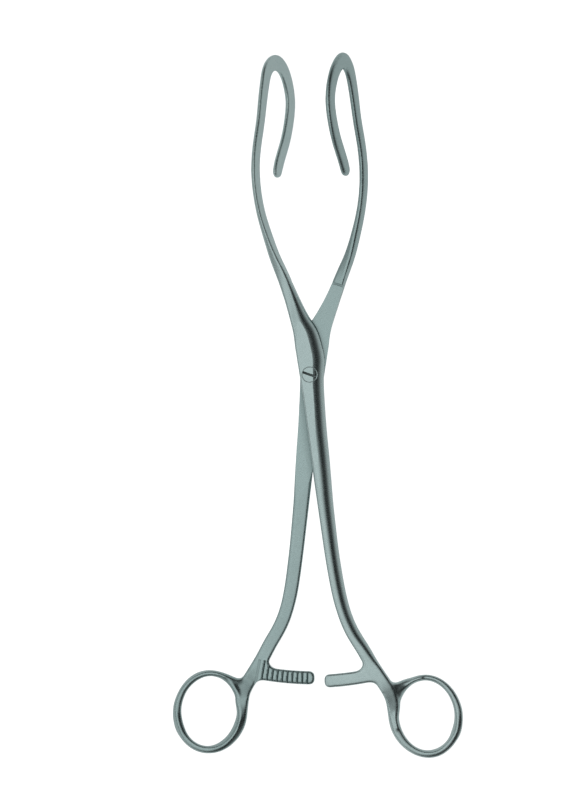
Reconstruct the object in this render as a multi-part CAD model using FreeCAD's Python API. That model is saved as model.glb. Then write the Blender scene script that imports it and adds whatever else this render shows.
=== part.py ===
import FreeCAD, Part
import math
import os
from dataclasses import dataclass

# Kidney elevating forceps, lying on its back: jaws towards +Y, finger rings
# towards -Y, and the pivot standing along Z. Lengths are millimetres, angles
# degrees. Two forged arms cross in a lap joint and turn on one slotted screw.
# Both arms are one forging, turned half a turn about the long axis against
# each other, so the arm is made once, in a frame where the pair's middle line
# is the Y axis and the lap plane is Z = 0, with its body in front of that plane.

Vector = FreeCAD.Vector
FRONT = Vector(0, 0, 1)
MIDDLE_LINE = Vector(0, 1, 0)

# Joint
ARM_DEPTH = 3.8             # one arm at the joint, lap face to outer face
LAP_GAP = 0.04              # between the two lap faces
LAP_RADIUS = 33.9           # the milled lap face ends here, measured from the pivot
LAP_TAIL = 44.0             # and runs this far down the shank
LAP_STOCK = 0.35            # metal that the milling takes off the lap side
FACE_STOCK = 0.06           # and that the facing takes off the joint's outer face
PIVOT_SIDE = 0.9            # the pivot stands this far left of the pair's middle line
FRONT_FACE = ARM_DEPTH      # the upper arm's outer face above the lap plane
JOINT_WIDTH = 9.8
WAIST_WIDTH = 7.5
WAIST_REACH = 17.7          # the shank meets the joint this far below the pivot
WAIST_SIDE = 1.5
ARRIS = 0.35                # round of the plain long edges
JOINT_ROUND = (5.2, 3.0)    # the outer edge's large round at the joint: across, deep

# Screw
HEAD_DIAMETER = 5.1
HEAD_DEPTH = 1.7
BEARING_DIAMETER = 3.8
THREAD_DIAMETER = 3.0
SLOT_WIDTH = 0.85
SLOT_DEPTH = 0.8
SLOT_ANGLE = -20.0
RUNNING_CLEARANCE = 0.03    # round the screw in the arm that turns on it
SEAT_CLEARANCE = 0.03       # under the head, which the bearing's shoulder keeps
THREAD_CLEARANCE = 0.02

# Shank and its flare down to the ratchet
SHANK_WIDTH = 5.2
SHANK_DEPTH = 3.5
SHANK_ROUND = (3.5, 2.5)
HAND_DIFFERENCE = 2.6       # the upper arm's ring stands this much lower than the other

# Finger ring
RING_SIDE = 38.5            # ring centre from the middle line
RING_REACH = 119.9          # ring centre below the pivot
RING_LEAN = 6.0             # the oval's foot leans outwards
RING_OPENING = (19.7, 24.8)  # across, along
RING_WIRE = 2.9
RING_WIRE_TOP = 2.1
RING_WIRE_FOOT = 2.6
RING_WIRE_ROOT = 3.7        # where the ring grows out of the neck
RING_DEPTH = 4.0
RING_DEPTH_TOP = 3.6
RING_ROUND = 0.45           # share of the wire's width and depth that each corner rounds
NECK_WIDTH = 5.0
NECK_INSIDE = 19.9          # the neck leaves the shank this far inside the ring's centre
NECK_ABOVE = 19.6           # and this far above it
HORN_DIFFERENCE = 0.8       # the upper arm's horn, the ring's upper root, is this much stouter

# Ratchet
RATCHET_ABOVE = 11.9        # the bar's middle above the ring's centre
RATCHET_RADIUS = RING_REACH - RATCHET_ABOVE
RATCHET_OFFSET = 1.2        # the upper arm's bar stands this much further out
RATCHET_WIDTH = 4.7
RATCHET_TIP = 0.55          # tip short of the middle line, lower arm
RATCHET_GAP = 2.4           # what the upper arm's tip adds to that
RATCHET_DEPTH = 3.25
RATCHET_TOP_ROUND = 3.3
RATCHET_LOW_ROUND = 4.2
TIP_ROUND = 1.7
ROOT_TOP_INSIDE = 21.2      # from the ring's centre to where the upper fillet meets the shank
ROOT_LOW_INSIDE = 16.1      # and to where the lower one does
ROOT_INSIDE = 1.7           # the bar's root reaches this much further, inside the shank
TOOTH_PITCH = 1.77
TOOTH_DEPTH = 0.75
TOOTH_COUNT = 10
TOOTH_START = 2.2           # first tooth from the tip
RUN_OUT = 0.9

# Jaw: an open flat oval, turned about the long axis
JAW_TURN = 57.0             # the loop's plane against the lap plane
LIMB_SIDE = 19.25           # widest place of the limb, from the middle line
LIMB_REACH = 73.0           # and its distance above the pivot
JAW_REACH = 113.7           # pivot to the tip of the jaw
LOOP_WIDTH = 22.2           # limb to finger, between band centres, in the loop's plane
LOOP_DIFFERENCE = 2.2       # the upper arm's loop is this much wider than the other
LIMB_BAND = 4.3
TIP_BAND = 5.8
FINGER_BAND = 4.9
BAND_THICKNESS = 1.9
BAND_BACK_ROUND = (0.93, 1.5)
FINGER_END_DROP = 3.0       # the finger's end below the limb's widest place
FINGER_END_BAND = 4.3

TURN_STEP = 22.0            # the path turns no more than this between two outlines
CURVE_HANDLE = 0.5523       # a cubic curve with this handle follows a quarter circle
# Neither arm is quite straight: (distance along the middle line, lean to the right)
LEANS = [
    (-105.0, 0.45),
    (-88.0, 0.2),
    (-60.0, -0.1),
    (-20.0, -0.15),
    (15.0, 0.12),
    (30.0, 0.6),
    (42.0, 0.65),
    (58.0, 0.35),
    (75.0, 0.05),
]

CORNER_SHARE = 0.74         # no corner takes off more of the width or depth than this
BEVEL_UP_TO = 0.8           # a corner whose two sides add up to less is a plain bevel
ROUND_FROM = 1.8            # and one whose sides add up to this is a full round


@dataclass
class Station:
    """One cross-section of the forging: its centre, its size, its twist and its four rounds."""

    x: float
    y: float
    z: float
    width: float
    depth: float
    twist: float = 0.0
    front_right: tuple = (ARRIS, ARRIS)
    back_right: tuple = (ARRIS, ARRIS)
    back_left: tuple = (ARRIS, ARRIS)
    front_left: tuple = (ARRIS, ARRIS)

    def centre(self):
        return Vector(self.x, self.y, self.z)

    def sizes(self):
        rounds = [*self.front_right, *self.back_right, *self.back_left, *self.front_left]
        return [self.width, self.depth, self.twist, *rounds]


def unit(vector):
    return vector * (1.0 / vector.Length)


def slopes_at(places, values):
    """Slopes of a smooth line through the values that never swings past them."""
    steps = [b - a for a, b in zip(places, places[1:])]
    rises = [(b - a) / step for a, b, step in zip(values, values[1:], steps)]
    slopes = [rises[0]]
    for before, after in zip(rises, rises[1:]):
        slopes.append(0.0 if before * after <= 0 else 2.0 * before * after / (before + after))
    slopes.append(rises[-1])
    return slopes


def between(places, values, slopes, place):
    """Value of that line at one place."""
    index = 0
    while index < len(places) - 2 and place > places[index + 1]:
        index += 1
    step = places[index + 1] - places[index]
    t = (place - places[index]) / step
    start = values[index] * (1 + 2 * t) * (1 - t) ** 2 + slopes[index] * step * t * (1 - t) ** 2
    end = values[index + 1] * t * t * (3 - 2 * t) - slopes[index + 1] * step * t * t * (1 - t)
    return start + end


def corner_curve(along, corner, down):
    """The curve that takes off a corner: a bevel if it is small, and a round if it is large."""
    size = (corner - along).Length + (corner - down).Length
    share = min(1.0, max(0.0, (size - BEVEL_UP_TO) / (ROUND_FROM - BEVEL_UP_TO)))
    straight = (down - along) * ((1.0 - share) / 3)
    lead = (corner - along) * (CURVE_HANDLE * share) + straight
    trail = (corner - down) * (CURVE_HANDLE * share) - straight
    return [along, along + lead, down + trail, down]


def outline(centre, right, front, width, depth, rounds):
    """Rounded rectangle as a closed wire, with a corner size of its own at each corner."""
    signs = [(1, 1), (1, -1), (-1, -1), (-1, 1)]
    curves = []
    for index, (side, face) in enumerate(signs):
        across = min(rounds[2 * index], CORNER_SHARE * width)
        deep = min(rounds[2 * index + 1], CORNER_SHARE * depth)
        corner = centre + right * (side * width / 2) + front * (face * depth / 2)
        along = corner - right * (side * across)
        down = corner - front * (face * deep)
        poles = corner_curve(along, corner, down)
        if side != face:
            poles.reverse()
        curve = Part.BezierCurve()
        curve.setPoles(poles)
        curves.append(curve.toShape())
    edges = []
    for index, curve in enumerate(curves):
        edges.append(curve)
        after = curves[(index + 1) % len(curves)]
        side = Part.LineSegment(curve.lastVertex(True).Point, after.firstVertex(True).Point)
        edges.append(side.toShape())
    return Part.Wire(edges)


def cuts_along(path, places):
    """Where the outlines stand: at each station, and closer together where the path turns."""
    cuts = [places[0]]
    for a, b in zip(places, places[1:]):
        turn = math.degrees(path.tangent(a)[0].getAngle(path.tangent(b)[0]))
        steps = max(1, math.ceil(turn / TURN_STEP))
        cuts += [a + (b - a) * step / steps for step in range(1, steps)] + [b]
    return cuts


def sweep(stations, level_until=None, parted_at=0):
    """The solids along the smooth path through the stations, end to end.

    Up to the station level_until, each outline's front is kept towards +Z. Past
    it the outline's right is held at its twist about the long axis, as in the jaw.
    The station parted_at ends one solid and begins the next, if it isn't the first.
    """
    points = [station.centre() for station in stations]
    places = [0.0]
    for a, b in zip(points, points[1:]):
        places.append(places[-1] + (b - a).Length)
    path = Part.BSplineCurve()
    path.interpolate(Points=points, Parameters=places)
    table = list(zip(*[station.sizes() for station in stations]))
    lines = [(values, slopes_at(places, values)) for values in table]
    last_level = places[-1] if level_until is None else places[level_until]
    outlines = []
    cuts = cuts_along(path, places)
    for cut in cuts:
        width, depth, twist, *rounds = [between(places, values, slopes, cut) for values, slopes in lines]
        forward = unit(path.tangent(cut)[0])
        if cut <= last_level:
            right = unit(forward.cross(FRONT))
        else:
            held = Vector(math.cos(math.radians(twist)), 0, math.sin(math.radians(twist)))
            right = unit(held - forward * held.dot(forward))
        outlines.append(outline(path.value(cut), right, right.cross(forward), width, depth, rounds))
    parted = cuts.index(places[parted_at])
    runs = [outlines[:parted + 1], outlines[parted:]] if parted else [outlines]
    return [Part.makeLoft(run, True, True) for run in runs]


def lean_at(reach):
    """How far the arms lean to the right of the middle line at this distance along it."""
    places = [place for place, _ in LEANS]
    shifts = [shift for _, shift in LEANS]
    held = min(max(reach, places[0]), places[-1])
    return between(places, shifts, slopes_at(places, shifts), held)


def leaned(stations, hand):
    """The stations with the pair's lean, which is outwards on one arm and inwards on the other."""
    for station in stations:
        station.x += hand * lean_at(station.y)
    return stations


def ring_stations(hand):
    """From the ring's top round its outer side and foot to its root."""
    lean = math.radians(RING_LEAN)
    reach = RING_REACH + hand * HAND_DIFFERENCE / 2
    stations = []
    for angle in range(0, 271, 30):
        turn = math.radians(angle)
        top = max(0.0, math.cos(turn))
        foot = max(0.0, -math.cos(turn))
        root = max(0.0, -math.sin(turn)) ** 4
        wire = RING_WIRE - (RING_WIRE - RING_WIRE_TOP) * top - (RING_WIRE - RING_WIRE_FOOT) * foot
        wire += (RING_WIRE_ROOT - RING_WIRE) * root
        side = (RING_OPENING[0] + wire) / 2 * math.sin(turn)
        rise = (RING_OPENING[1] + wire) / 2 * math.cos(turn)
        x = RING_SIDE + side * math.cos(lean) - rise * math.sin(lean)
        y = -reach + rise * math.cos(lean) + side * math.sin(lean)
        depth = RING_DEPTH - (RING_DEPTH - RING_DEPTH_TOP) * top
        rounds = (RING_ROUND * wire, RING_ROUND * depth)
        stations.append(Station(x, y, 0.0, wire, depth, 0.0, rounds, rounds, rounds, rounds))
    return stations


def horn_stations(hand):
    """The upper root of the ring, curling out of the neck to the top of the oval.

    Places are taken from the ring's centre: inside it, and above it.
    """
    reach = RING_REACH + hand * HAND_DIFFERENCE / 2
    stouter = (1 + hand) * HORN_DIFFERENCE / 2
    path = [
        (16.3, 13.3, 1.5, 2.8, 3.3),
        (13.8, 10.2, 1.1, 4.0 + stouter, 3.5),
        (10.5, 9.5, 0.6, 3.9 + stouter, 3.6),
        (7.7, 11.0, 0.2, 2.9 + stouter, 3.6),
        (4.7, 12.5, 0.0, 2.35, 3.6),
    ]
    stations = []
    for inside, above, z, width, depth in path:
        soft = (RING_ROUND * width, RING_ROUND * depth)
        x = RING_SIDE - inside
        stations.append(Station(x, above - reach, z, width, depth, 0.0, soft, soft, soft, soft))
    return stations


def shank_stations(hand):
    """The neck, and the shank up to the waist.

    The neck's places are taken from the ring's centre. The shank's are shares of
    the way from the waist to the neck, outwards and along.
    """
    reach = RING_REACH + hand * HAND_DIFFERENCE / 2
    neck = [
        (11.9, 5.3, 0.5, NECK_WIDTH, 3.9, (1.7, 1.7)),
        (14.0, 10.1, 1.1, NECK_WIDTH, 3.7, (1.7, 1.8)),
        (17.1, 14.9, 1.6, NECK_WIDTH, 3.5, (2.0, 2.0)),
        (NECK_INSIDE, NECK_ABOVE, 1.8, 4.9, 3.4, (2.4, 2.2)),
    ]
    shank = [
        (0.865, 0.949, 1.85, 4.9, 3.4, (2.7, 2.2)),
        (0.713, 0.897, 1.85, 4.9, 3.4, (2.9, 2.3)),
        (0.591, 0.846, 1.85, 4.9, 3.4, (3.0, 2.3)),
        (0.503, 0.795, 1.85, 4.9, 3.4, (3.1, 2.4)),
        (0.436, 0.743, 1.85, 5.0, 3.45, (3.3, 2.4)),
        (0.345, 0.640, 1.85, 5.1, SHANK_DEPTH, (3.4, 2.5)),
        (0.275, 0.538, 1.9, SHANK_WIDTH, SHANK_DEPTH, SHANK_ROUND),
        (0.216, 0.435, 1.95, 5.4, 3.6, (3.7, 2.6)),
        (0.160, 0.332, 1.9, 5.7, 3.7, (3.9, 2.7)),
        (0.111, 0.229, 1.85, 6.2, ARM_DEPTH, (4.1, 2.8)),
        (0.0585, 0.119, 1.75, 6.6, ARM_DEPTH + LAP_STOCK, (4.3, 2.9)),
        (0.0, 0.0, 1.76, 7.0, ARM_DEPTH + LAP_STOCK, (4.5, 3.0)),
    ]
    outwards = RING_SIDE - NECK_INSIDE - WAIST_SIDE
    along = reach - NECK_ABOVE - WAIST_REACH
    stations = []
    for inside, above, z, width, depth, large in neck:
        stations.append(Station(RING_SIDE - inside, above - reach, z, width, depth, 0.0, large))
    for side, share, z, width, depth, large in shank:
        x = WAIST_SIDE + side * outwards
        stations.append(Station(x, -WAIST_REACH - share * along, z, width, depth, 0.0, large))
    return stations


def joint_stations():
    """The joint plate, wide on the jaw side of the pivot, and the limb that leaves it."""
    full = ARM_DEPTH + LAP_STOCK + FACE_STOCK
    middle = full / 2 - LAP_STOCK
    plate = [
        (0.72, -8.7, middle, WAIST_WIDTH, full, 0.0, (4.7, 3.0)),
        (0.16, -2.6, middle, 8.2, full, 0.0, (4.9, 3.0)),
        (-0.12, 1.6, middle, 9.05, full, 0.0, (5.1, 3.0)),
        (-0.4, 5.9, middle, JOINT_WIDTH, full, 0.0, JOINT_ROUND),
        (-1.16, 10.1, middle, 9.6, full, 0.2, JOINT_ROUND),
        (-2.05, 14.1, middle, 8.9, full, 0.8, (5.0, 3.0)),
        (-3.9, 18.6, middle, 7.1, full, 2.5, (4.3, 2.9)),
        (-5.72, 22.9, 1.6, 5.85, full, 6.0, (3.4, 2.6)),
        (-7.4, 27.1, 1.42, 4.9, full, 10.0, (2.4, 2.0)),
        (-9.07, 31.4, 1.2, 4.25, full, 14.0, (1.6, 1.5)),
        (-10.7, 35.6, 0.95, 3.8, 4.2, 17.5, (1.0, 1.0)),
    ]
    return [Station(x, y, z, width, depth, twist, large) for x, y, z, width, depth, twist, large in plate]


def jaw_stations(hand):
    """The limb's upper part and the open oval, which lies in one plane.

    The oval's places are shares of its height, from the limb's widest place to the crown.
    """
    turn = math.radians(JAW_TURN)
    twist = 90.0 - JAW_TURN
    soft = BAND_BACK_ROUND
    limb = [
        (-12.58, 39.9, 0.65, 3.36, 4.3, 21.0, (0.6, 0.7), (0.9, 1.0)),
        (-15.45, 48.4, 0.22, 2.5, 4.4, 28.0, (0.5, 0.5), (1.2, 1.3)),
        (-17.67, 56.9, 0.03, 2.05, LIMB_BAND, 32.0, (0.4, 0.4), soft),
    ]
    stations = []
    for x, y, z, width, depth, angle, large, left in limb:
        stations.append(Station(x, y, z, width, depth, angle, large, (ARRIS, ARRIS), left, left))
    wide = LOOP_WIDTH + hand * LOOP_DIFFERENCE / 2
    height = JAW_REACH - TIP_BAND / 2 - LIMB_REACH
    loop = [
        (0.6, -0.212, LIMB_BAND),
        (0.0, 0.0, LIMB_BAND),
        (1.3, 0.225, LIMB_BAND),
        (3.7, 0.45, LIMB_BAND),
        (5.2, 0.635, 4.6),
        (6.9, 0.815, 4.9),
        (9.3, 0.95, 5.4),
        (wide - 9.1, 1.0, TIP_BAND),
        (wide - 5.0, 0.95, 5.5),
        (wide - 1.6, 0.815, 5.2),
        (wide, 0.63, FINGER_BAND),
        (wide - 1.0, 0.458, FINGER_BAND),
        (wide - 4.0, 0.246, FINGER_BAND),
        (wide - 7.7, 0.066, FINGER_BAND),
        (wide - 10.0, -FINGER_END_DROP / height, FINGER_END_BAND),
    ]
    for across, share, band in loop:
        x = -LIMB_SIDE + across * math.cos(turn)
        z = -across * math.sin(turn)
        y = LIMB_REACH + share * height
        inner = (ARRIS, ARRIS)
        stations.append(Station(x, y, z, BAND_THICKNESS, band, twist, inner, inner, soft, soft))
    return stations


def finger_end_cut(last, before):
    """What is taken off the finger's tip, to leave it round in the plane of the band."""
    forward = unit(last.centre() - before.centre())
    turn = math.radians(last.twist)
    across = Vector(math.cos(turn), 0, math.sin(turn))
    centre = last.centre() - forward * (last.depth / 2)
    reach = 4.0 * last.width
    boss = Part.makeCylinder(last.depth / 2, 2 * reach, centre - across * reach, across)
    frame = FreeCAD.Placement(centre, FreeCAD.Rotation(across, Vector(), forward, "XZY"))
    block = Part.makeBox(2 * reach, last.depth * 2, last.depth, Vector(-reach, -last.depth, 0))
    block.Placement = frame
    return block.cut(boss)


def facing_cut():
    """What the facing takes off the joint's outer face, as far as the milling runs."""
    corner = Vector(-LAP_TAIL, -LAP_TAIL, FRONT_FACE)
    return Part.makeBox(2 * LAP_TAIL, 2 * LAP_TAIL, ARM_DEPTH, corner)


def arm_blank(hand):
    """Ring, shank, joint plate and jaw as one forging, faced and with its finger end rounded."""
    horn = leaned(horn_stations(hand), hand)
    handle = leaned(ring_stations(hand) + shank_stations(hand), hand)
    jaw = leaned(joint_stations() + jaw_stations(hand), hand)
    root, rest = sweep(horn + handle + jaw, len(horn) + len(handle), len(horn))
    return root.fuse(rest).cut([finger_end_cut(jaw[-1], jaw[-2]), facing_cut()])


def polar(radius, angle):
    """A point on the lap plane, at a radius and an angle in degrees about the pivot."""
    turn = math.radians(angle)
    return Vector(-PIVOT_SIDE + radius * math.sin(turn), -radius * math.cos(turn), 0)


def arc_through(radius, angles):
    """An arc about the pivot between two angles."""
    start, end = angles
    return Part.Arc(polar(radius, start), polar(radius, (start + end) / 2), polar(radius, end)).toShape()


def quarter(start, centre_radius, centre_angle, end, size, outward):
    """A quarter round that bulges along outward: (away from the pivot, towards the root)."""
    away, rootward = outward
    reach = size * math.sqrt(0.5)
    turn = math.degrees(reach / centre_radius)
    middle = polar(centre_radius + away * reach, centre_angle + rootward * turn)
    return Part.Arc(start, middle, end).toShape()


def ratchet_bar(radius, tip_side):
    """The bar that reaches from the shank to the middle line, on an arc about the pivot."""
    top = radius - RATCHET_WIDTH / 2
    low = radius + RATCHET_WIDTH / 2
    tip = math.degrees(math.asin((tip_side + PIVOT_SIDE) / radius))
    root_top = math.degrees(math.asin((RING_SIDE - ROOT_TOP_INSIDE + PIVOT_SIDE) / top))
    root_low = math.degrees(math.asin((RING_SIDE - ROOT_LOW_INSIDE + PIVOT_SIDE) / low))
    round_turn = math.degrees(TIP_ROUND / radius)
    top_turn = math.degrees(RATCHET_TOP_ROUND / top)
    low_turn = math.degrees(RATCHET_LOW_ROUND / low)
    fillet_top = top - RATCHET_TOP_ROUND
    fillet_low = low + RATCHET_LOW_ROUND
    top_start = polar(fillet_top, root_top)
    top_end = polar(top, root_top - top_turn)
    low_start = polar(low, root_low - low_turn)
    low_end = polar(fillet_low, root_low)
    tip_points = [
        polar(top, tip + round_turn),
        polar(top + TIP_ROUND, tip),
        polar(low - TIP_ROUND, tip),
        polar(low, tip + round_turn),
    ]
    inner = [polar(top, root_top + ROOT_INSIDE), polar(low, root_low + ROOT_INSIDE / 4)]
    edges = [
        quarter(top_start, fillet_top, root_top - top_turn, top_end, RATCHET_TOP_ROUND, (1, 1)),
        arc_through(top, (root_top - top_turn, tip + round_turn)),
        quarter(tip_points[0], top + TIP_ROUND, tip + round_turn, tip_points[1], TIP_ROUND, (-1, -1)),
        Part.makeLine(tip_points[1], tip_points[2]),
        quarter(tip_points[2], low - TIP_ROUND, tip + round_turn, tip_points[3], TIP_ROUND, (1, -1)),
        arc_through(low, (tip + round_turn, root_low - low_turn)),
        quarter(low_start, fillet_low, root_low - low_turn, low_end, RATCHET_LOW_ROUND, (-1, 1)),
        Part.makeLine(low_end, inner[1]),
        Part.makeLine(inner[1], inner[0]),
        Part.makeLine(inner[0], top_start),
    ]
    face = Part.Face(Part.Wire(edges))
    face.translate(Vector(0, 0, LAP_GAP / 2))
    return face.extrude(Vector(0, 0, RATCHET_DEPTH))


def tooth_notches(radius, tip_side):
    """Saw teeth across the bar's lap face, steep towards the root, and the run-out."""
    cuts = []
    tip = math.asin((tip_side + PIVOT_SIDE) / radius)
    pitch = TOOTH_PITCH / radius
    first = tip + TOOTH_START / radius
    for index in range(TOOTH_COUNT):
        cuts.append(notch(radius, first + index * pitch, [(0, 0), (TOOTH_PITCH, 0), (0, TOOTH_DEPTH)]))
    last = first + (TOOTH_COUNT - 0.02) * pitch
    cuts.append(notch(radius, last, [(0, 0), (RUN_OUT, 0), (RUN_OUT, TOOTH_DEPTH), (0, TOOTH_DEPTH)]))
    return cuts


def notch(radius, angle, profile):
    """A prism cut along the radius: profile is (along the arc towards the root, deep)."""
    reach = 2.0 * RATCHET_WIDTH
    low = LAP_GAP / 2 - TOOTH_DEPTH
    points = []
    for along, deep in profile:
        height = LAP_GAP / 2 + deep if deep > 0 else low
        points.append(Vector(along, -(radius - reach / 2), height))
    face = Part.Face(Part.makePolygon(points + [points[0]]))
    prism = face.extrude(Vector(0, -reach, 0))
    prism.rotate(Vector(0, 0, 0), FRONT, math.degrees(angle))
    prism.translate(Vector(-PIVOT_SIDE, 0, 0))
    return prism


def lap_cut(pivot_side):
    """What the milling takes off: a disc about the pivot and a strip down the shank."""
    bottom = -2.0 * ARM_DEPTH
    height = LAP_GAP / 2 - bottom
    disc = Part.makeCylinder(LAP_RADIUS, height, Vector(pivot_side, 0, bottom))
    strip = Part.makeBox(LAP_RADIUS, LAP_TAIL, height, Vector(-LAP_RADIUS / 2, -LAP_TAIL, bottom))
    below = Part.makeBox(2 * LAP_RADIUS, LAP_RADIUS, height, Vector(-LAP_RADIUS, -LAP_RADIUS, bottom))
    upper_disc = disc.cut(below)
    return upper_disc.fuse(strip)


def arm(hand):
    """One arm without its holes, in its own frame. hand is 1 for the upper arm and -1 for the lower."""
    radius = RATCHET_RADIUS + hand * RATCHET_OFFSET / 2
    tip_side = RATCHET_TIP + (RATCHET_GAP if hand > 0 else 0.0)
    body = arm_blank(hand).fuse(ratchet_bar(radius, tip_side))
    return body.cut([lap_cut(-hand * PIVOT_SIDE), *tooth_notches(radius, tip_side)])


def round_hole(diameter, start, end, clearance=0.0):
    """A cylinder on the pivot between two heights."""
    return Part.makeCylinder(diameter / 2 + clearance, end - start, Vector(-PIVOT_SIDE, 0, start))


def upper_arm():
    """The arm in front, which turns on the screw and holds its head."""
    body = arm(1)
    seat = FRONT_FACE - HEAD_DEPTH - SEAT_CLEARANCE
    return body.cut([
        round_hole(HEAD_DIAMETER, seat, 2 * FRONT_FACE, RUNNING_CLEARANCE),
        round_hole(BEARING_DIAMETER, -ARM_DEPTH, 2 * FRONT_FACE, RUNNING_CLEARANCE),
    ])


def lower_arm():
    """The arm behind, half a turn round, which holds the screw's thread."""
    body = arm(-1)
    body.rotate(Vector(0, 0, 0), MIDDLE_LINE, 180)
    return body.cut(round_hole(THREAD_DIAMETER, -2 * FRONT_FACE, ARM_DEPTH, THREAD_CLEARANCE))


def joint_screw():
    """Slotted screw: the head sunk flush, the bearing through the upper arm, the thread below."""
    seat = FRONT_FACE - HEAD_DEPTH
    upper_plate = sweep(leaned(joint_stations(), 1))[0].cut(facing_cut())
    lower_plate = sweep(leaned(joint_stations(), -1))[0].cut(facing_cut())
    lower_plate.rotate(Vector(0, 0, 0), MIDDLE_LINE, 180)
    head = round_hole(HEAD_DIAMETER, seat, FRONT_FACE + HEAD_DEPTH).common(upper_plate)
    thread = round_hole(THREAD_DIAMETER, -FRONT_FACE - HEAD_DEPTH, 0.0).common(lower_plate)
    bearing = round_hole(BEARING_DIAMETER, -LAP_GAP / 2, seat)
    screw = head.fuse([bearing, thread])
    slot = Part.makeBox(2 * HEAD_DIAMETER, SLOT_WIDTH, 2 * SLOT_DEPTH)
    slot.translate(Vector(-HEAD_DIAMETER, -SLOT_WIDTH / 2, FRONT_FACE - SLOT_DEPTH))
    slot.rotate(Vector(0, 0, 0), FRONT, SLOT_ANGLE)
    slot.translate(Vector(-PIVOT_SIDE, 0, 0))
    return screw.cut(slot).removeSplitter()


def place(shape):
    """Puts the centre of the screw's head at the origin."""
    moved = shape.copy()
    moved.translate(Vector(PIVOT_SIDE, 0, -FRONT_FACE))
    return moved


def main():
    os.makedirs("parts", exist_ok=True)
    pieces = {"upper_arm": upper_arm(), "lower_arm": lower_arm(), "joint_screw": joint_screw()}
    for name, shape in pieces.items():
        placed = place(shape)
        print(name, placed.isValid(), len(placed.Solids), round(placed.Volume, 1), placed.BoundBox)
        placed.exportStep("parts/" + name + ".step")


if __name__ == "__main__":
    main()
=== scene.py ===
import logging
import math
from dataclasses import dataclass
from enum import Enum

import bpy
import numpy as np
from mathutils import Matrix, Vector


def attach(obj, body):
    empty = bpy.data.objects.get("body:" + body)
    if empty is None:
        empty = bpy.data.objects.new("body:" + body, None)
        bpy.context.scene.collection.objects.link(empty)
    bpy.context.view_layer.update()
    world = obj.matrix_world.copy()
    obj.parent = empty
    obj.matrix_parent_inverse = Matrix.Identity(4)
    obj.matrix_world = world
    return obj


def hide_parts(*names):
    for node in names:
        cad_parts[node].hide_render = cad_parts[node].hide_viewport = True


# Looks of a pair of ring-handled kidney elevating forceps. Lengths inside the arm's
# classes are millimetres, in the pair's own frame: the middle line is the Y axis,
# the lap plane is Z = 0 and the arm's body is in front of it. Each mesh is brought
# to metres, in the frame of the CAD model, when it is made.
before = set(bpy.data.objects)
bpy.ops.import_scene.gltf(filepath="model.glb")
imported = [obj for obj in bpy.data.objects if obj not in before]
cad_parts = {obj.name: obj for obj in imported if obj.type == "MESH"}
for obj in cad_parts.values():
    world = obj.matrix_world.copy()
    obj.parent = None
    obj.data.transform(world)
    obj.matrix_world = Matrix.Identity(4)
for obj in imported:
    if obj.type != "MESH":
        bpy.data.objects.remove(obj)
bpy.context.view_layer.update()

LOG = logging.getLogger("forceps")
MM = 0.001
QUARTER = math.pi / 2

# The pair's frame against that of the CAD model
PIVOT_SIDE = 0.9
FRONT_FACE = 3.8

# What both arms share with the joint
ARM_DEPTH = 3.8
LAP_STOCK = 0.35
FACE_STOCK = 0.06
LAP_GAP = 0.04
ARRIS = 0.35
CORNER_SHARE = 0.74

# Neither arm is quite straight: (distance along the middle line, lean to the right)
LEANS = np.array([
    (-105.0, 0.45), (-88.0, 0.2), (-60.0, -0.1), (-20.0, -0.15), (15.0, 0.12), (30.0, 0.6),
    (42.0, 0.65), (58.0, 0.35), (75.0, 0.05),
])

# Roll of each ring's narrow front flat, as (angle from the ring's top, roll), in degrees
UPPER_ROLLS = (
    (0, 2), (60, 4), (95, 5), (118, 26), (140, 6), (170, 14), (195, 4), (225, -4), (270, -4),
)
LOWER_ROLLS = (
    (0, 4), (35, 16), (60, 6), (90, 6), (115, 26), (140, 6), (180, 0), (215, -22), (250, -26),
    (270, -10),
)


Array = np.ndarray
Pair = tuple[float, float]
SHARP = (ARRIS, ARRIS)


class Side(Enum):
    """Which of the two arms, by the name of its CAD node."""

    UPPER = "upper_arm"
    LOWER = "lower_arm"


def span_of(places: Array, at: Array) -> Array:
    """Index of the place before each distance."""
    return np.clip(np.searchsorted(places, at, side="right") - 1, 0, len(places) - 2)


def spline_at(places: Array, values: Array, at: Array) -> tuple[Array, Array]:
    """Points of the natural cubic spline through the values, and the ways it runs there.

    A tridiagonal system gives the second derivatives: slope and curvature run on
    through each point, and the curvature is nought at both ends. Between two places
    the point is the straight line between the values plus the cubic that has the
    second derivatives at both ends.

    Args:
        places: distances of the values along the path, increasing.
        values: one row per place.
        at: distances to read the spline at.

    Returns:
        The points, and unit vectors along the spline.
    """
    step = np.diff(places)
    matrix = np.eye(len(places))
    right = np.zeros_like(values)
    rows = np.arange(1, len(places) - 1)
    matrix[rows, rows - 1] = step[:-1]
    matrix[rows, rows] = 2.0 * (step[:-1] + step[1:])
    matrix[rows, rows + 1] = step[1:]
    rise = np.diff(values, axis=0) / step[:, None]
    right[1:-1] = 6.0 * (rise[1:] - rise[:-1])
    bend = np.linalg.solve(matrix, right)
    index = span_of(places, at)
    step = (places[index + 1] - places[index])[:, None]
    a = (places[index + 1][:, None] - at[:, None]) / step
    b = 1.0 - a
    low, high = values[index], values[index + 1]
    bend_low, bend_high = bend[index], bend[index + 1]
    curve = (a**3 - a) * bend_low + (b**3 - b) * bend_high
    points = a * low + b * high + curve * step**2 / 6.0
    slopes = (
        (high - low) / step
        - (3 * a**2 - 1) * step * bend_low / 6.0
        + (3 * b**2 - 1) * step * bend_high / 6.0
    )
    return points, slopes / np.linalg.norm(slopes, axis=1, keepdims=True)


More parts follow.
